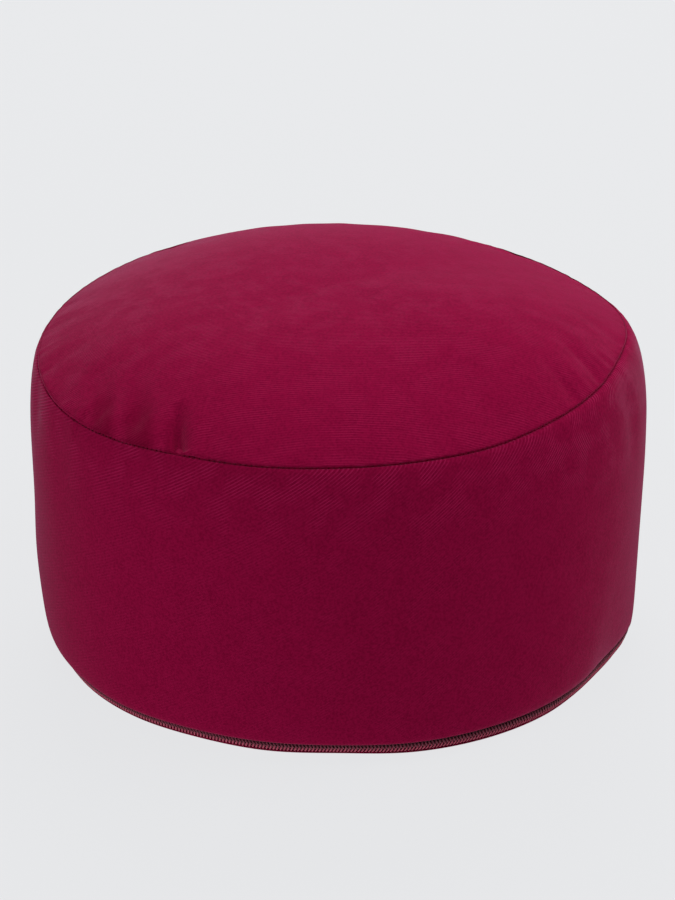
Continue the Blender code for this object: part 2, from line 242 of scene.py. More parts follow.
def blend(first: Array, second: Array, share: Array) -> Array:
    """Goes from first to second as share goes from 0 to 1."""
    return first + (second - first) * share


def ease(share: Array) -> Array:
    """A share from 0 to 1 that starts and ends gently."""
    kept = np.clip(share, 0.0, 1.0)
    return kept * kept * (3 - 2 * kept)


def turn_between(angles: Array, middle: float) -> Array:
    """How far angles lie from a middle one, from -180 to 180 degrees."""
    return (angles - middle + 180) % 360 - 180


def glide(around: list[Array], share: Array) -> Array:
    """Goes smoothly from the second to the third of four values as share goes from 0 to 1."""
    before, first, second, after = around
    slope_in, slope_out = (second - before) / 2, (after - first) / 2
    bend = 3 * (second - first) - 2 * slope_in - slope_out
    twist = 2 * (first - second) + slope_in + slope_out
    return first + share * (slope_in + share * (bend + share * twist))


def read_round(rows: tuple, column: str, angles: Array) -> Array:
    """Reads a column of a table of rows round the cushion, as a smooth closed curve.

    Args:
        rows: The table, in the order of its angles.
        column: The name of the column.
        angles: The angles at which it is read.

    Returns:
        The column's value at each angle.
    """
    stops = np.array([row.angle for row in rows], float)
    values = np.array([getattr(row, column) for row in rows], float)
    turned = turn_between(angles, 0.0)
    here = np.searchsorted(stops, turned, side="right") - 1
    span = (stops[(here + 1) % len(rows)] - stops[here]) % 360
    share = (turned - stops[here]) / span
    return glide([values[(here + step) % len(rows)] for step in (-1, 0, 1, 2)], share)


def stray(rows: tuple, column: str, angles: Array) -> Array:
    """Reads a column in millimetres at any angles, as metres."""
    return read_round(rows, column, angles) * MM


def waves(angles: Array, turns: tuple[int, ...], seed: int) -> Array:
    """A closed uneven wave round the cushion, from -1 to 1.

    Args:
        angles: Where it is read.
        turns: How many waves each of its parts has in one turn.
        seed: Chooses the parts' phases.

    Returns:
        The wave at each angle.
    """
    phases = np.random.default_rng(seed).uniform(0, 2 * math.pi, len(turns))
    parts = [np.sin(np.radians(angles) * count + phase) for count, phase in zip(turns, phases)]
    return sum(parts) / len(parts)


@dataclass(frozen=True)
class Form:
    """The shape that the panels and the zip share, with the driving sizes of the solids."""

    widest_radius: float = 0.1538
    widest_share: float = 0.74
    side_taper: float = 0.0024
    side_taper_power: float = 1.4
    top_seam_radius: float = 0.1461
    top_seam_height: float = 0.1585
    crown_rise: float = 0.0306
    crown_flatness: float = 2.8
    foot_radius: float = 0.1335
    foot_stray_top: float = 0.090
    toe_top: float = 0.011
    upper_slimness: float = 0.95
    gap: float = 0.0003
    groove_depth: float = 0.0020
    edge_lift: float = 0.0010
    floor_parting: float = 0.00345
    zip_start: float = -210.0
    zip_end: float = 30.0
    zip_fade: float = 3.0
    zip_top_radius: float = 0.1438
    zip_top_height: float = 0.0093
    zip_lean: float = 33.0
    zip_width: float = 0.0092
    zip_middle: float = 0.0053
    seat_depth: float = 0.0029

    def seam(self, angles: Array) -> tuple[Array, Array]:
        """The radius and height of the top seam."""
        radius = self.top_seam_radius + stray(SEAM_ROWS, "out_mm", angles)
        return radius, self.top_seam_height + stray(SEAM_ROWS, "rise_mm", angles)

    def on_cushion(self, angles: Array, radius: Array, height: Array) -> Array:
        """Places in space, moved out or in where the foot strays from a circle.

        Args:
            angles: The angle of each place.
            radius: Its distance from the middle.
            height: Its height over the floor.

        Returns:
            The places, with x, y and z along a new last axis.
        """
        angles, radius, height = np.broadcast_arrays(angles, radius, height)
        inner = np.clip(radius / self.foot_radius, 0, 1)
        share = np.clip(1 - height / self.foot_stray_top, 0, 1) ** 2 * inner
        moved = radius + stray(FOOT_ROWS, "out_mm", angles) * share
        moved = moved + stray(FOOT_ROWS, "toe_mm", angles) * np.clip(1 - height / self.toe_top, 0, 1) * inner
        turned = np.radians(angles)
        return np.stack((moved * np.cos(turned), moved * np.sin(turned), height), axis=-1)

    def on_zip(self, down: Array, out: Array) -> tuple[Array, Array]:
        """The radius and height of zip places."""
        lean = math.radians(self.zip_lean)
        radius = self.zip_top_radius - down * math.sin(lean) + out * math.cos(lean)
        return radius, self.zip_top_height - down * math.cos(lean) - out * math.sin(lean)

    def seat_at(self, height: float) -> float:
        """The radius at which the zip's seat reaches a height."""
        seat_height = self.on_zip(0.0, -self.seat_depth)[1]
        down = (seat_height - height) / math.cos(math.radians(self.zip_lean))
        return self.on_zip(down, -self.seat_depth)[0]

    def zip_place(self, angles: Array, down: Array, out: Array) -> Array:
        """Zip places in space."""
        angles, down, out = np.broadcast_arrays(angles, down, out)
        return self.on_cushion(angles, *self.on_zip(down, out))

    def zip_outward(self, angles: Array) -> Array:
        """The direction out of the zip's face at each angle."""
        lean, turned = math.radians(self.zip_lean), np.radians(angles)
        level = math.cos(lean)
        sunk = np.full_like(turned, -math.sin(lean))
        return np.stack((np.cos(turned) * level, np.sin(turned) * level, sunk), axis=-1)

    def zipped(self, angles: Array) -> Array:
        """1 where the zip runs and 0 where it doesn't, with a short fade past its ends."""
        middle, half = (self.zip_start + self.zip_end) / 2, (self.zip_end - self.zip_start) / 2
        return 1 - ease((np.abs(turn_between(angles, middle)) - half) / self.zip_fade)


def rounded(points: list[tuple[Array, Array]], steps: int) -> list[tuple[Array, Array]]:
    """Puts smooth steps between the (radius, height) points of a profile.

    Args:
        points: The points, each with a value or a row of values.
        steps: How many steps each stretch gets.

    Returns:
        The finer profile, through the same points.
    """
    finer = []
    for place in range(len(points) - 1):
        around = [points[min(max(place + step, 0), len(points) - 1)] for step in (-1, 0, 1, 2)]
        for step in range(steps):
            radius, height = (glide(values, step / steps) for values in zip(*around))
            finer.append((radius, height))
    return finer + [points[-1]]


def keep_mesh(name: str, points: Array, faces: list[tuple], sharp: float = 50.0) -> bpy.types.Object:
    """Makes an object of points and faces, shaded smooth but for its sharp edges.

    Args:
        name: The object's name.
        points: One place in each row.
        faces: The corners of each face, anticlockwise seen from outside.
        sharp: The angle from which an edge stays sharp.

    Returns:
        The object, linked to the scene.
    """
    mesh = bpy.data.meshes.new(name)
    mesh.from_pydata(points.reshape(-1, 3).tolist(), [], faces)
    mesh.validate()
    mesh.shade_smooth()
    mesh.set_sharp_from_angle(angle=math.radians(sharp))
    piece = bpy.data.objects.new(name, mesh)
    bpy.context.scene.collection.objects.link(piece)
    return piece


def closed_round(name: str, grid: Array, low_tip: float, high_tip: float) -> bpy.types.Object:
    """Makes a closed body from rings round the Z axis, each end closed by a fan.

    Args:
        name: The object's name.
        grid: The places, from the lowest ring round the outside to the highest.
        low_tip: The height of the middle of the lower fan.
        high_tip: The height of the middle of the upper fan.

    Returns:
        The object.
    """
    levels, columns = grid.shape[:2]
    points = np.vstack((grid.reshape(-1, 3), (0, 0, low_tip), (0, 0, high_tip)))
    low, high = levels * columns, levels * columns + 1
    faces = []
    for level in range(levels - 1):
        base = level * columns
        for column in range(columns):
            after = (column + 1) % columns
            faces.append((base + column, base + after, base + columns + after, base + columns + column))
    top = (levels - 1) * columns
    for column in range(columns):
        after = (column + 1) % columns
        faces.append((low, after, column))
        faces.append((high, top + column, top + after))
    return keep_mesh(name, points, faces)


def joined_tubes(name: str, rings: Array, sharp: float = 50.0) -> bpy.types.Object:
    """Makes one object of many capped tubes.

    Args:
        name: The object's name.
        rings: Places by tube, ring and side, with x, y and z last.
        sharp: The angle from which an edge stays sharp.

    Returns:
        The object.
    """
    tubes, count, sides = rings.shape[:3]
    faces = []
    for tube in range(tubes):
        first = tube * count * sides
        for ring in range(count - 1):
            base = first + ring * sides
            for side in range(sides):
                after = (side + 1) % sides
                faces.append((base + side, base + after, base + sides + after, base + sides + side))
        last = first + (count - 1) * sides
        faces.append(tuple(range(first + sides - 1, first - 1, -1)))
        faces.append(tuple(range(last, last + sides)))
    return keep_mesh(name, rings, faces, sharp)


def tube_rings(path: Array, up: Array, half_width: Array, half_height: Array, sides: int) -> Array:
    """The rings of round or oval tubes along paths.

    Args:
        path: Places by tube and step.
        up: The direction of each tube's height, of the same shape.
        half_width: Half the tube's width at each step.
        half_height: Half the tube's height at each step.
        sides: How many sides the tube has.

    Returns:
        Places by tube, ring and side.
    """
    ahead = np.gradient(path, axis=1)
    ahead /= np.linalg.norm(ahead, axis=-1, keepdims=True)
    across = np.cross(up, ahead)
    across /= np.linalg.norm(across, axis=-1, keepdims=True)
    upright = np.cross(ahead, across)
    turned = np.arange(sides) * 2 * math.pi / sides
    wide = across[:, :, None] * np.cos(turned)[:, None] * np.reshape(half_width, (-1, 1, 1))
    high = upright[:, :, None] * np.sin(turned)[:, None] * np.reshape(half_height, (-1, 1, 1))
    return path[:, :, None] + wide + high


class Value:
    """A shader socket that carries a number, so that shader maths reads as a plain expression."""

    def __init__(self, paint: "Paint", socket: bpy.types.NodeSocket) -> None:
        """Wraps a socket of a material under way."""
        self.paint = paint
        self.socket = socket

    def __add__(self, other: "Value | float") -> "Value":
        """This value plus another."""
        return self.paint.math("ADD", self, other)

    def __sub__(self, other: "Value | float") -> "Value":
        """This value less another."""
        return self.paint.math("SUBTRACT", self, other)

    def __mul__(self, other: "Value | float") -> "Value":
        """This value times another."""
        return self.paint.math("MULTIPLY", self, other)

    def __neg__(self) -> "Value":
        """This value with its sign turned."""
        return self.paint.math("MULTIPLY", self, -1.0)


class Paint:
    """A material under way: one Principled shader and what feeds it."""

    def __init__(self, name: str) -> None:
        """Starts a material with the plain Principled shader."""
        self.material = bpy.data.materials.new(name)
        self.material.use_nodes = True
        self.tree = self.material.node_tree
        self.shader = self.tree.nodes["Principled BSDF"]

    def node(self, kind: str, settings: dict[str, Any], inputs: dict[Any, Any]) -> bpy.types.Node:
        """Adds a node.

        Args:
            kind: The node's type.
            settings: Its properties, set before its sockets.
            inputs: A number, colour, socket or Value for its sockets, by name or place.

        Returns:
            The node.
        """
        made = self.tree.nodes.new(kind)
        for name, setting in settings.items():
            setattr(made, name, setting)
        for name, given in inputs.items():
            self.feed(made.inputs[name], given)
        return made

    def feed(self, target: bpy.types.NodeSocket, given: Any) -> None:
        """Links a socket or Value to a target, or sets the target to a plain number or colour."""
        if isinstance(given, Value):
            given = given.socket
        if isinstance(given, bpy.types.NodeSocket):
            self.tree.links.new(given, target)
        else:
            target.default_value = given

    def math(self, operation: str, *given: "Value | float") -> Value:
        """Adds a Math node and returns its result."""
        made = self.node("ShaderNodeMath", {"operation": operation}, dict(enumerate(given)))
        return Value(self, made.outputs[0])

    def sine(self, value: Value) -> Value:
        """The sine of a value in radians."""
        return self.math("SINE", value)

    def place(self) -> tuple[Value, Value, Value]:
        """The x, y and z of the place on the piece, which are those of the cushion's own frame."""
        source = self.node("ShaderNodeTexCoord", {}, {})
        parts = self.node("ShaderNodeSeparateXYZ", {}, {0: source.outputs["Object"]})
        return tuple(Value(self, output) for output in parts.outputs)

    def noise(self, scale: float, detail: float = 2.0) -> Value:
        """Soft noise from 0 to 1.

        Args:
            scale: How many of its lumps there are in a metre.
            detail: How many finer layers it has.

        Returns:
            The noise.
        """
        source = self.node("ShaderNodeTexCoord", {}, {})
        inputs = {"Vector": source.outputs["Object"], "Scale": scale, "Detail": detail}
        made = self.node("ShaderNodeTexNoise", {}, inputs)
        return Value(self, made.outputs[0])

    def window(self, value: Value, start: float, end: float) -> Value:
        """A share that goes softly from 0 where a value is at its start to 1 where it is at its end."""
        settings = {"interpolation_type": "SMOOTHSTEP"}
        made = self.node("ShaderNodeMapRange", settings, {"Value": value, "From Min": start, "From Max": end})
        return Value(self, made.outputs[0])

    def mix(self, share: Value, first: Any, second: Any) -> bpy.types.NodeSocket:
        """A colour that goes from first to second as share goes from 0 to 1."""
        settings = {"data_type": "RGBA"}
        made = self.node("ShaderNodeMix", settings, {0: share, 6: shown(first), 7: shown(second)})
        return made.outputs[2]

    def bump(self, height: Value, depth: float, strength: float) -> None:
        """Feeds the shader's normal from a height from 0 to 1 that stands for a depth in metres."""
        made = self.node("ShaderNodeBump", {}, {"Height": height, "Distance": depth, "Strength": strength})
        self.feed(self.shader.inputs["Normal"], made.outputs[0])

    def constants(self, **sockets: Any) -> None:
        """Sets the shader's own sockets, named with underscores for spaces."""
        for name, given in sockets.items():
            self.shader.inputs[name.replace("_", " ")].default_value = given

    def dress(self, piece: bpy.types.Object) -> None:
        """Makes this the piece's only material."""
        piece.data.materials.clear()
        piece.data.materials.append(self.material)


def shown(colour: Any) -> Any:
    """A plain colour with the full alpha that a socket wants, or a socket as it is."""
    return (*colour, 1.0) if isinstance(colour, tuple) else colour


@dataclass(frozen=True)
class Twill:
    """Burgundy cotton twill: fine slanted wales, a pale nap seen edge on, and soft patches.

    The fields whose names end in lumps say how many lumps of a noise there are in a metre.
    """

    colour: Colour = (0.275, 0.0034, 0.0430)
    pale: Colour = (0.420, 0.0140, 0.0900)
    dark: Colour = (0.185, 0.0014, 0.0270)
    # The colour of the painted shade at the pinches.
    shade: Colour = (0.130, 0.0006, 0.0160)
    nap: Colour = (0.92, 0.67, 0.94)
    nap_weight: float = 0.17
    nap_roughness: float = 0.32
    wale: float = 0.00135
    yarn: float = 0.00075
    climb: float = 34.0
    sweep: float = 0.20
    drift: float = 1.6
    depth: float = 0.00030
    strength: float = 0.8
    line: float = 0.54
    clear_above: float = 0.155
    faint_below: float = 0.110
    pinch_radius: float = 0.1470
    drift_lumps: float = 60.0
    patch_lumps: float = 85.0
    cloud_lumps: float = 55.0
    crumple_lumps: float = 420.0
    mottle_lumps: float = 820.0
    fleck_lumps: float = 1100.0

    def phase(self, paint: Paint, lay: Lay, radius: float) -> tuple[Value, Value]:
        """Where a place lies across the wales and along them, in radians.

        Args:
            paint: The material under way.
            lay: How the twill lies.
            radius: The radius on which the band's twill is measured.

        Returns:
            The phase across the wales and the phase along them.
        """
        x, y, z = paint.place()
        round_wale, round_yarn = 2 * math.pi / self.wale, 2 * math.pi / self.yarn
        if lay is Lay.TOP:
            return y * round_wale, x * round_yarn
        around = paint.math("ARCTAN2", x, -y) * radius
        climb = math.radians(self.climb)
        across = (z - y * self.sweep) * math.cos(climb) - around * math.sin(climb)
        along = around * math.cos(climb) + z * math.sin(climb)
        return across * round_wale, along * round_yarn

    def painted_pinch_shade(self, paint: Paint) -> Value:
        """How much painted shade the top panel gets at the pinches, from 0 to 1."""
        x, y, _ = paint.place()
        shares = []
        for row in PINCH_SHADES:
            front = -math.sqrt(self.pinch_radius**2 - (row.x_mm * MM) ** 2)
            half_width = row.half_width_mm * MM
            off = paint.math("ABSOLUTE", x - row.x_mm * MM)
            beside = paint.window(off, half_width * 1.35, half_width * 0.45)
            behind = paint.window(y - front, row.length_mm * MM, 0.0)
            shares.append(beside * behind * row.share)
        return sum(shares[1:], shares[0])

    def patches(self, paint: Paint, lay: Lay) -> Value:
        """How clearly the wales show, patch by patch, and on the band most of all near its top seam."""
        patch = paint.window(paint.noise(self.patch_lumps, 3.0), 0.40, 0.64) * 0.75 + 0.15
        if lay is Lay.TOP:
            return patch * 0.55 + 0.15
        near_seam = paint.window(paint.place()[2], self.faint_below, self.clear_above)
        return patch * (near_seam * 1.05 + 0.30)

    def dress(self, piece: bpy.types.Object, lay: Lay, radius: float) -> None:
        """Dresses a panel in twill.

        Args:
            piece: The panel.
            lay: How the twill lies on it.
            radius: The radius on which the band's twill is measured.
        """
        paint = Paint(piece.name)
        across, along = self.phase(paint, lay, radius)
        drift = (paint.noise(self.drift_lumps) - 0.5) * self.drift
        ridge = paint.sine(across + drift) * 0.5 + 0.5
        yarn = paint.sine(along + across * 0.5) * 0.5 + 0.5
        patch = self.patches(paint, lay)
        fleck = paint.noise(self.fleck_lumps, 1.0)
        crumple = paint.noise(self.crumple_lumps)
        woven = ridge * (yarn * 0.28 + 0.72) * (patch * 0.7 + 0.10)
        paint.bump(woven + fleck * 0.20 + crumple * 0.40, self.depth, self.strength)
        cloud = paint.window(paint.noise(self.cloud_lumps, 3.0), 0.3, 0.7)
        mottle = paint.window(paint.noise(self.mottle_lumps), 0.3, 0.7)
        tint = paint.mix(cloud * 0.08 + mottle * 0.57, self.dark, self.colour)
        lit = paint.mix(cloud * 0.08 + mottle * 0.52, tint, self.colour)
        lined = paint.math("POWER", ridge, 3.0) * patch
        body = paint.mix(lined * self.line + fleck * 0.10, lit, self.pale)
        # Painted shade: the top panel is darkened at the pinches of its folds.
        if lay is Lay.TOP:
            body = paint.mix(self.painted_pinch_shade(paint), body, self.shade)
        paint.feed(paint.shader.inputs["Base Color"], body)
        paint.constants(Roughness=0.95, Specular_IOR_Level=0.0, Sheen_Weight=self.nap_weight)
        paint.constants(Sheen_Roughness=self.nap_roughness, Sheen_Tint=shown(self.nap))
        paint.dress(piece)


@dataclass(frozen=True)
class WovenTape:
    """The zip's tape: a close herringbone weave, matt, whose nearly black default colours are painted shade.
    """

    # Painted shade: nearly black for the tape that lies under the folded edge.
    colour: Colour = (0.018, 0.003, 0.006)
    pale: Colour = (0.045, 0.010, 0.017)
    pitch: float = 0.0007
    depth: float = 0.00012

    def dress(self, piece: bpy.types.Object, radius: float) -> None:
        """Dresses a tape that lies on a circle of a radius."""
        paint = Paint(piece.name)
        x, y, z = paint.place()
        around = paint.math("ARCTAN2", x, -y) * radius
        turn = 2 * math.pi / self.pitch
        zigzag = paint.math("PINGPONG", z * 1000.0, 0.6) * 3.0
        rib = paint.sine(around * turn + zigzag) * 0.5 + 0.5
        paint.bump(rib, self.depth, 0.7)
        paint.feed(paint.shader.inputs["Base Color"], paint.mix(rib, self.colour, self.pale))
        paint.constants(Roughness=0.85, Specular_IOR_Level=0.1, Sheen_Weight=0.08)
        paint.dress(piece)


@dataclass(frozen=True)
class Filament:
    """Coiled monofilament or thread: dull and slightly glossy, a little uneven along the zip."""

    colour: Colour = (0.165, 0.022, 0.044)
    pale: Colour = (0.270, 0.052, 0.086)
    roughness: float = 0.5
    shine: float = 0.15

    def dress(self, piece: bpy.types.Object) -> None:
        """Dresses a coil or a row of stitches."""
        paint = Paint(piece.name)
        uneven = paint.noise(420.0, 2.0)
        paint.bump(paint.noise(5200.0, 1.0), 0.00006, 0.35)
        paint.feed(paint.shader.inputs["Base Color"], paint.mix(uneven, self.colour, self.pale))
        paint.feed(paint.shader.inputs["Roughness"], uneven * 0.2 + self.roughness)
        paint.constants(Specular_IOR_Level=self.shine)
        paint.dress(piece)


@dataclass(frozen=True)
class CastMetal:
    """The slider's metal: satin, with a fine cast grain and worn patches."""

    colour: Colour = (0.220, 0.200, 0.190)
    worn: Colour = (0.420, 0.400, 0.380)

    def dress(self, piece: bpy.types.Object) -> None:
        """Dresses the slider or its pull."""
        paint = Paint(piece.name)
        grain = paint.noise(2600.0, 3.0)
        patch = paint.noise(260.0, 2.0)
        paint.bump(grain, 0.00005, 0.4)
        paint.feed(paint.shader.inputs["Base Color"], paint.mix(patch, self.colour, self.worn))
        paint.feed(paint.shader.inputs["Roughness"], grain * 0.25 + 0.25)
        paint.constants(Metallic=1.0)
        paint.dress(piece)


SEAM_THREAD = Filament((0.260, 0.002, 0.034), (0.380, 0.005, 0.055), 0.7, 0.0)


@dataclass
class Cover:
    """The filled cover: top panel, side band and bottom panel, with the thread of the top seam."""

    form: Form
    twill: Twill
    columns: int = 760
    roll: float = 0.0008
    stitch: float = 0.0026
    swell_reach: float = 0.0055
    closing_angle: float = 90.0
    closing_width: float = 0.0011
    closing_depth: float = 0.0014

    def angles(self) -> Array:
        """The angles of the cover's columns, closer together at the folds and the closing seam."""
        fine = np.linspace(-180, 180, 7201)
        density = np.ones_like(fine)
        for row in COLUMN_ROWS:
            density += row.extra * np.exp(-((turn_between(fine, row.angle) / row.half_width) ** 8))
        passed = np.concatenate(((0.0,), np.cumsum((density[1:] + density[:-1]) / 2)))
        return np.interp(np.arange(self.columns) * passed[-1] / self.columns, passed, fine)

    def folds(self, angles: Array, radius: Array) -> Array:
        """How far the folds sink the top panel.

        Args:
            angles: The angle of each place on it.
            radius: Its distance from the middle.

        Returns:
            The depth at each place.
        """
        x, y = radius * np.cos(np.radians(angles)), radius * np.sin(np.radians(angles))
        depth = np.zeros_like(x)
        for fold in TOP_FOLDS:
            start = self.form.seam(np.array(float(fold.angle)))[0]
            turned, heading = math.radians(fold.angle), math.radians(fold.heading)
            off_x, off_y = x - start * math.cos(turned), y - start * math.sin(turned)
            along = (off_x * math.cos(heading) + off_y * math.sin(heading)) / (fold.length_mm * MM)
            across = (off_x * math.sin(heading) - off_y * math.cos(heading)) / (fold.width_mm * MM)
            run = np.sin(math.pi * np.clip(along, 0, 1) ** fold.onset)
            depth += fold.depth_mm * MM * run * np.exp(-(np.abs(across) ** fold.power))
        return depth

    def dimples(self, angles: Array, height: Array) -> Array:
        """How far the dimples sink the side band at each place."""
        depth = np.zeros(np.broadcast(angles, height).shape)
        for dimple in SIDE_DIMPLES:
            turned = np.radians(turn_between(angles, dimple.angle))
            across = turned * self.form.widest_radius / (dimple.width_mm * MM)
            upward = (height - dimple.height_mm * MM) / (dimple.tall_mm * MM)
            depth += dimple.depth_mm * MM * np.exp(-across * across - upward * upward)
        return depth

    def ripples(self, angles: Array, away: Array) -> Array:
        """Small uneven ripples where the cloth is eased into the top seam.

        Args:
            angles: The angle of each place.
            away: Its distance from the seam.

        Returns:
            How far the cloth stands in at each place.
        """
        small = waves(angles, (61, 83, 97, 131), 5) * np.exp(-away / 0.006)
        broad = waves(angles, (23, 31, 41), 9) * np.exp(-away / 0.018) * ease(away / 0.006)
        return 0.00034 * small + 0.00060 * broad

    def flatness(self, angles: Array) -> Array:
        """How flat the crown is before it falls to the seam."""
        flatness = np.full_like(angles, self.form.crown_flatness)
        for row in SHOULDERS:
            flatness += row.extra * np.exp(-((turn_between(angles, row.angle) / row.half_width) ** 2))
        return flatness

    def swells(self, angles: Array, away: Array) -> Array:
        """How far the top panel swells just inside the seam, at a distance from it."""
        reach = away / self.swell_reach
        rise = np.zeros_like(away)
        for row in SWELLS:
            rise += row.rise_mm * MM * np.exp(-((turn_between(angles, row.angle) / row.half_width) ** 4))
        return rise * reach * np.exp(1 - reach)

    def top(self) -> bpy.types.Object:
        """The top panel: rolled in at the seam, then domed, with its folds."""
        form, angles = self.form, self.angles()
        seam_radius, seam_height = form.seam(angles)
        flatness = self.flatness(angles)
        rows = [(seam_radius - form.groove_depth, seam_height + form.gap / 2)]
        rows.append((seam_radius - 2 * self.roll, seam_height + form.gap / 2))
        for turn in range(0, 145, 24):
            out, up = math.sin(math.radians(turn)), 1 - math.cos(math.radians(turn))
            rows.append((seam_radius - self.roll * (1 - out), seam_height + form.gap / 2 + self.roll * up))
        rolled = len(rows)
        shares = 1 - np.linspace(0.0028**0.55, 0.985**0.55, 116) ** (1 / 0.55)
        for share in shares:
            level = form.top_seam_height + (seam_height - form.top_seam_height) * share
            rise = form.edge_lift + (form.crown_rise - form.edge_lift) * (1 - share**flatness)
            rows.append((seam_radius * share, level + rise))
        radius = np.array([row[0] for row in rows])
        height = np.array([row[1] for row in rows])
        away = np.clip(seam_radius - radius, 0, None)
        sink = self.folds(angles, radius) + self.ripples(angles, away) - self.swells(angles, away)
        sink[:2] = 0
        sink[2:rolled] *= 0.5
        grid = form.on_cushion(angles, radius, height - sink)
        crown = form.top_seam_height + form.crown_rise
        return closed_round("top_panel_twill", grid, form.top_seam_height + form.gap / 2, crown)

    def closing(self, angles: Array) -> Array:
        """The depth of the groove of the band's closing seam, with a soft roll on each side."""
        off = np.radians(turn_between(angles, self.closing_angle)) * self.form.widest_radius
        groove = np.exp(-((off / self.closing_width) ** 2)) * self.closing_depth
        rolls = np.exp(-(((np.abs(off) - 0.004) / 0.003) ** 2)) * 0.0003
        return groove - rolls

    def band(self) -> bpy.types.Object:
        """The side band: folded back over the zip, bulging, and rolled in at the top seam."""
        form, angles = self.form, self.angles()
        share = form.zipped(angles)
        seat, gap = form.seat_depth, form.gap
        parting = form.floor_parting + gap / 2
        folded = [(form.seat_at(parting), parting), form.on_zip(-gap, -seat), form.on_zip(-gap, -0.6 * seat)]
        folded += [form.on_zip(-gap, -0.0006), form.on_zip(-0.00045, -0.0002), form.on_zip(-0.0010, 0.0)]
        closed = [(0.1390, 0.00360), (0.1394, 0.00363), (0.1398, 0.00367), (0.1402, 0.00372)]
        closed += [(0.1407, 0.00385), (0.1412, 0.00415)]
        edge = []
        for (plain_radius, plain_height), (zip_radius, zip_height) in zip(closed, folded):
            edge.append((blend(plain_radius, zip_radius, share), blend(plain_height, zip_height, share)))
        rows = rounded(edge, 3)
        low_radius, low_height = rows[-1]
        seam_radius, seam_height = form.seam(angles)
        widest_height = low_height + (seam_height - low_height) * form.widest_share
        slimness = read_round(FOOT_ROWS, "slimness", angles)
        turns = [np.linspace(-86, -60, 14), np.linspace(-58, 56, 60), np.linspace(58, 86, 24)]
        start = len(rows)
        for turn in np.radians(np.concatenate(turns)):
            rise, roundness = math.sin(turn), math.cos(turn)
            if rise > 0:
                height = widest_height + (seam_height - widest_height) * rise
                radius = seam_radius + (form.widest_radius - seam_radius) * roundness**form.upper_slimness
            else:
                height = widest_height + (widest_height - low_height) * rise
                tapered = form.widest_radius - form.side_taper
                radius = low_radius + (tapered - low_radius) * roundness**slimness
                radius = radius + form.side_taper * (1 - (-rise) ** form.side_taper_power)
            rows.append((radius, height))
        finish = len(rows)
        for inset, drop in ((0.2, 0.28), (0.6, 0.42), (1.1, 0.50), (1.5, 0.32), (2.0, 0.15)):
            rows.append((seam_radius - inset * MM, seam_height - drop * MM))
        radius = np.array([np.broadcast_to(row[0], angles.shape) for row in rows])
        height = np.array([np.broadcast_to(row[1], angles.shape) for row in rows])
        away = np.hypot(seam_radius - radius, seam_height - height)
        sink = self.dimples(angles, height) + 0.6 * self.ripples(angles, away) + self.closing(angles)
        sink[:start] = 0
        sink[finish:] *= 0.3
        grid = form.on_cushion(angles, radius - sink, height)
        low_tip, high_tip = parting, form.top_seam_height - gap / 2
        return closed_round("side_band_twill", grid, low_tip, high_tip)

    def bottom(self) -> bpy.types.Object:
        """The bottom panel: flat on the floor, turned up at its edge."""
        form, angles = self.form, self.angles()
        share = form.zipped(angles)
        parting = form.floor_parting - form.gap / 2
        edge = form.zip_width + form.gap / 2
        zipped = [(0.1335, 0.0), (0.1366, 0.0004), (0.1383, 0.0010), form.on_zip(edge, 0.0)]
        zipped += [form.on_zip(edge, -0.5 * form.seat_depth), form.on_zip(edge, -form.seat_depth)]
        zipped += [(form.seat_at(parting) - form.gap, parting)]
        closed = [(0.1335, 0.0), (0.1376, 0.0005), (0.1398, 0.0015), (0.1407, 0.0026)]
        closed += [(0.1403, 0.0031), (0.1396, 0.0032), (0.1390, 0.0033)]
        rows = []
        for (plain_radius, plain_height), (zip_radius, zip_height) in zip(closed, zipped):
            rows.append((blend(plain_radius, zip_radius, share), blend(plain_height, zip_height, share)))
        flat = [(np.full(angles.shape, radius), np.zeros(angles.shape)) for radius in (0.04, 0.09, 0.125)]
        rows = flat + rounded(rows, 3)
        radius = np.array([np.broadcast_to(row[0], angles.shape) for row in rows])
        height = np.array([np.broadcast_to(row[1], angles.shape) for row in rows])
        return closed_round("bottom_panel_twill", form.on_cushion(angles, radius, height), 0.0, parting)

    def thread(self) -> bpy.types.Object:
        """The stitches that show deep in the top seam."""
        form = self.form
        count = round(2 * math.pi * form.top_seam_radius / self.stitch)
        pitch = 360.0 / count
        starts = np.arange(count)[:, None] * pitch
        steps = np.linspace(0.14, 0.86, 6)
        angles = starts + steps * pitch
        radius, height = form.seam(angles)
        dip = np.sin((steps - 0.14) / 0.72 * math.pi) * 0.00015
        path = form.on_cushion(angles, radius - 0.0006 + dip, height - 0.0001)
        up = np.zeros_like(path)
        up[..., 2] = 1.0
        width = np.full(len(steps), 0.00033)
        return joined_tubes("top_seam_thread", tube_rings(path, up, width, width, 6))

    def build(self) -> None:
        """Builds the panels and the thread, dresses them and says what they stand for."""
        panels = ((self.top, "top_panel", Lay.TOP), (self.band, "side_band", Lay.BAND))
        panels += ((self.bottom, "bottom_panel", Lay.TOP),)
        for make, node, lay in panels:
            piece = make()
            self.twill.dress(piece, lay, self.form.widest_radius)
            seat(piece, "cover_twill", node)
        thread = self.thread()
        SEAM_THREAD.dress(thread)
        seat(thread, "cover_twill")


@dataclass(frozen=True)
class ZipFinish:
    """The finishes of one half of the zip, whose colours carry that half's painted light or painted shade."""

    tape: WovenTape
    coil: Filament
    sewing: Filament


# Lit and shaded copies of one finish: the upper half is painted dark as the shade of the folded edge,
# and the lower half is painted pale as the light from the floor.
SHADED_UPPER_HALF = ZipFinish(
    WovenTape(),
    Filament((0.120, 0.018, 0.034), (0.200, 0.040, 0.066)),
    Filament((0.085, 0.050, 0.055), (0.190, 0.130, 0.135), 0.6),
)
LIT_LOWER_HALF = ZipFinish(
    WovenTape((0.080, 0.010, 0.018), (0.150, 0.028, 0.045)),
    Filament((0.340, 0.040, 0.080), (0.520, 0.090, 0.150)),
    Filament((0.300, 0.090, 0.125), (0.440, 0.180, 0.220), 0.6),
)


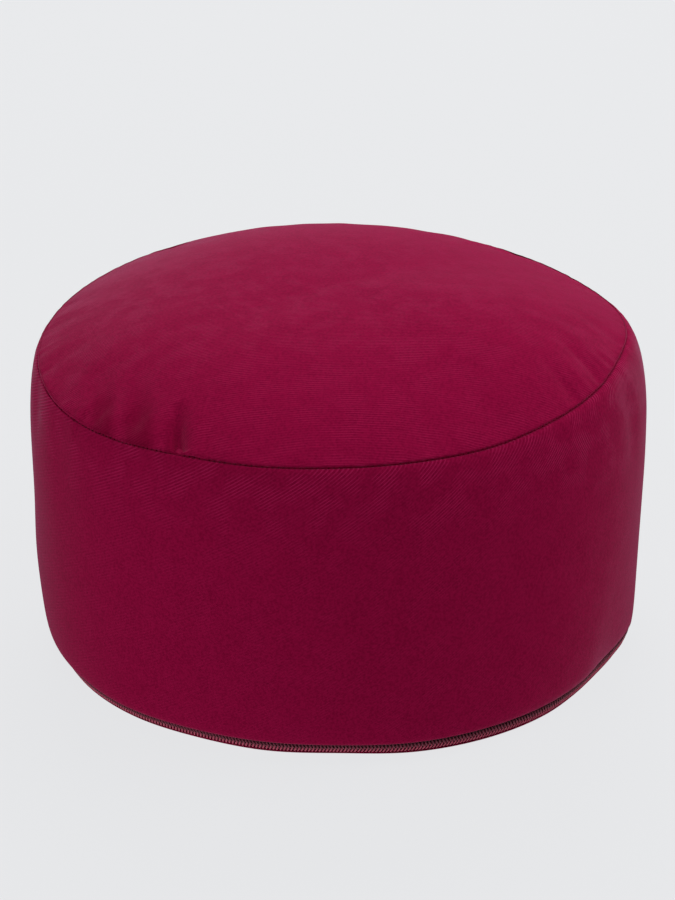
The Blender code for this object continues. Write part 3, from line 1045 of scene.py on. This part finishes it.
@dataclass
class Zip:
    """The zip: two tapes, a coil on each, its sewing, the slider and its pull."""

    form: Form
    # The upper half's finish carries painted shade, and the lower half's carries painted light.
    painted_shaded: ZipFinish
    open: ZipFinish
    metal: CastMetal
    tape_thickness: float = 0.0010
    chain_width: float = 0.0060
    coil_height: float = 0.0016
    coil_pitch: float = 0.00175
    filament_width: float = 0.00088
    filament_height: float = 0.00060
    upper_sewing_down: float = 0.0020
    lower_sewing_inset: float = 0.00055
    slider_angle: float = 24.0
    slider_length: float = 0.0100

    def tape_strip(self, name: str, top: float, bottom: float) -> bpy.types.Object:
        """A tape between two places down the zip.

        Args:
            name: The object's name.
            top: Where its upper edge lies.
            bottom: Where its lower edge lies.

        Returns:
            The tape.
        """
        form = self.form
        end_gap = math.degrees(form.gap / form.zip_top_radius)
        angles = np.arange(form.zip_start + end_gap, form.zip_end - end_gap, 0.5)
        inner = form.gap - form.seat_depth
        outer = inner + self.tape_thickness
        corner = 0.00015
        section = [(top, inner), (bottom, inner), (bottom, outer - corner), (bottom - corner, outer)]
        section += [(top + corner, outer), (top, outer - corner)]
        rings = np.stack([form.zip_place(angles, down, out) for down, out in section], axis=1)
        return joined_tubes(name, rings[None, ::-1], 70.0)

    def turns(self, end: float) -> tuple[float, Array]:
        """The angle from one turn of the coil to the next, and where each starts, up to an end."""
        form = self.form
        pitch = math.degrees(self.coil_pitch / (form.zip_top_radius - form.zip_middle * 0.5))
        return pitch, np.arange(form.zip_start + pitch, end - 2 * pitch, pitch)[:, None]

    def coil_row(self, name: str, side: int, end: float) -> bpy.types.Object:
        """The turns of one coil, each a flat loop that leans towards its head at the zip's middle.

        Args:
            name: The object's name.
            side: -1 for the upper coil and 1 for the lower one.
            end: The angle at which the turns stop.

        Returns:
            The coil.
        """
        form = self.form
        pitch, starts = self.turns(end)
        base = 2 * form.gap + self.tape_thickness - form.seat_depth
        half = self.filament_height / 2
        middle, reach = form.zip_middle, self.chain_width / 2
        turn = np.linspace(0, math.pi, 9)
        share = (1 - np.cos(turn)) / 2
        down = middle + side * (reach - share * (reach + 0.0001))
        out = base + half + (self.coil_height - 2 * half) * np.sin(turn) ** 0.5
        lean = share * 0.62 - 0.31 + (0.25 if side > 0 else -0.25)
        path = form.zip_place(starts + lean * pitch, down, out)
        up = np.broadcast_to(form.zip_outward(starts + lean * pitch), path.shape)
        width = self.filament_width / 2 * (0.80 + 0.20 * share)
        return joined_tubes(name, tube_rings(path, up, width, np.full(9, half), 8))

    def sewing(self, name: str, down: float, end: float) -> bpy.types.Object:
        """A row of stitches that holds a tape, one for each turn of the coil.

        Args:
            name: The object's name.
            down: Where the row lies down the zip.
            end: The angle at which it stops.

        Returns:
            The row of stitches.
        """
        form = self.form
        pitch, starts = self.turns(end)
        steps = np.linspace(0, 1, 6)
        surface = form.gap + self.tape_thickness - form.seat_depth
        angles = starts + (0.12 + 0.70 * steps) * pitch
        out = surface + 0.00012 + 0.00030 * np.sin(steps * math.pi)
        path = form.zip_place(angles, down + 0.00035 * (steps - 0.5), out)
        up = np.broadcast_to(form.zip_outward(angles), path.shape)
        width = np.array((0.6, 0.95, 1.0, 1.0, 0.95, 0.6)) * 0.00021
        return joined_tubes(name, tube_rings(path, up, width, width, 6))

    def build(self) -> None:
        """Builds, dresses and seats the tapes, coils and sewing, and dresses the slider and its pull."""
        form = self.form
        middle, gap = form.zip_middle, form.gap
        half_slider = math.degrees(self.slider_length / 2 / form.zip_top_radius)
        coil_end = self.slider_angle - half_slider
        # The upper half is dressed in painted shade, and the lower half in painted light.
        edges = (("zip_tape_upper", gap / 2, middle - gap / 2, self.painted_shaded),)
        edges += (("zip_tape_lower", middle + gap / 2, form.zip_width - gap / 2, self.open),)
        for node, top, bottom, finish in edges:
            tape = self.tape_strip(node + "_woven", top, bottom)
            finish.tape.dress(tape, form.zip_top_radius)
            seat(tape, "zip_tape", node)
        for name, side, finish in (("zip_coil_upper", -1, self.painted_shaded), ("zip_coil_lower", 1, self.open)):
            row = self.coil_row(name + "_turns", side, coil_end)
            finish.coil.dress(row)
            seat(row, "zip_coil", name)
        low = form.zip_width - self.lower_sewing_inset
        rows = (("zip_sewing_upper", self.upper_sewing_down, self.painted_shaded),)
        rows += (("zip_sewing_lower", low, self.open),)
        for name, down, finish in rows:
            row = self.sewing(name, down, form.zip_end)
            finish.sewing.dress(row)
            seat(row, "zip_coil")
        for node in ("zip_slider", "zip_pull"):
            self.metal.dress(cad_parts[node])
            LOG.info("%s keeps its solid, in a better finish", node)


def seat(piece: bpy.types.Object, slot: str, *nodes: str) -> None:
    """Says what a piece is for.

    Args:
        piece: The piece, which rides on the cushion's one body.
        slot: The name of the material slot that its finish stands for, which is only logged.
        nodes: The solids that it stands for.
    """
    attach(piece, BODY)
    if nodes:
        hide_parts(*nodes)
    faces = len(piece.data.polygons)
    LOG.info("%s: %d faces, slot %s, stands for %s", piece.name, faces, slot, ", ".join(nodes) or "nothing")


@dataclass(frozen=True)
class SoftLight:
    """A large square lamp that faces the cushion."""

    name: str
    place: Colour
    size: float
    watts: float
    colour: Colour = (1.0, 1.0, 1.0)

    def hang(self, target: Vector) -> None:
        """Hangs the lamp and turns it to a target."""
        lamp = bpy.data.lights.new(self.name, "AREA")
        lamp.shape = "SQUARE"
        lamp.size = self.size
        lamp.energy = self.watts
        lamp.color = self.colour
        holder = bpy.data.objects.new(self.name, lamp)
        holder.location = self.place
        holder.rotation_euler = (target - Vector(self.place)).to_track_quat("-Z", "Y").to_euler()
        bpy.context.scene.collection.objects.link(holder)


@dataclass
class Studio:
    """The pale floor, the soft light and the camera."""

    lens: float = 160.0
    sensor: float = 36.0
    camera_place: Colour = (-0.0004, -1.8180, 0.9647)
    looks_at: Colour = (-0.0004, 0.0, 0.0983)
    roll: float = -0.0058
    floor_radius: float = 7.0
    pale: Colour = (0.793, 0.800, 0.816)
    glow: float = 0.0
    lights: tuple[SoftLight, ...] = (
        SoftLight("over_light", (0.0, 0.0, 2.2), 1.3, 11.4),
        SoftLight("over_back_light", (0.0, 1.5, 1.8), 1.3, 30.3),
        SoftLight("over_right_light", (1.6, 0.0, 1.5), 1.3, 20.0),
        SoftLight("left_light", (-2.1, -0.4, 0.3), 1.3, 7.8),
        SoftLight("back_light", (0.0, 2.2, 0.7), 1.3, 9.8),
        SoftLight("back_right_light", (1.5, 1.6, 0.9), 1.3, 5.9),
        SoftLight("front_left_light", (-1.5, -1.6, 0.9), 1.3, 11.0),
    )

    def floor(self) -> None:
        """Lays the floor."""
        turned = np.arange(64) * 2 * math.pi / 64
        ring = np.stack((np.cos(turned), np.sin(turned), np.zeros(64)), axis=-1) * self.floor_radius
        floor = keep_mesh("studio_floor", ring, [tuple(range(64))])
        paint = Paint("studio_floor")
        cloud = paint.noise(0.8, 1.0)
        body = paint.mix(cloud, (0.044, 0.045, 0.046), (0.046, 0.047, 0.048))
        paint.feed(paint.shader.inputs["Base Color"], body)
        paint.constants(Roughness=1.0, Specular_IOR_Level=0.0, Emission_Strength=0.955)
        paint.constants(Emission_Color=shown(self.pale))
        paint.dress(floor)

    def surroundings(self) -> None:
        """Fills the space round the cushion with even pale light."""
        world = bpy.data.worlds.new("studio")
        world.use_nodes = True
        background = world.node_tree.nodes["Background"]
        background.inputs["Color"].default_value = shown(self.pale)
        background.inputs["Strength"].default_value = self.glow
        bpy.context.scene.world = world
        bpy.context.scene.view_settings.view_transform = "Standard"

    def camera(self) -> None:
        """Sets up the camera that sees the cushion as the photograph does."""
        data = bpy.data.cameras.new("camera")
        data.lens = self.lens
        data.sensor_fit = "VERTICAL"
        data.sensor_height = self.sensor
        holder = bpy.data.objects.new("camera", data)
        holder.location = self.camera_place
        aim = (Vector(self.looks_at) - Vector(self.camera_place)).to_track_quat("-Z", "Y")
        rolled = aim.to_matrix() @ Matrix.Rotation(self.roll, 3, "Z")
        holder.rotation_euler = rolled.to_euler()
        bpy.context.scene.collection.objects.link(holder)
        bpy.context.scene.camera = holder

    def build(self) -> None:
        """Sets up the whole studio."""
        self.floor()
        self.surroundings()
        for light in self.lights:
            light.hang(Vector((0.0, 0.0, 0.1)))
        self.camera()


def main() -> None:
    """Builds the cushion's cover, its zip and the studio, in that order."""
    logging.basicConfig(level=logging.INFO, format="%(message)s")
    form = Form()
    Cover(form, Twill()).build()
    Zip(form, SHADED_UPPER_HALF, LIT_LOWER_HALF, CastMetal()).build()
    Studio().build()


if __name__ == "__main__":
    main()
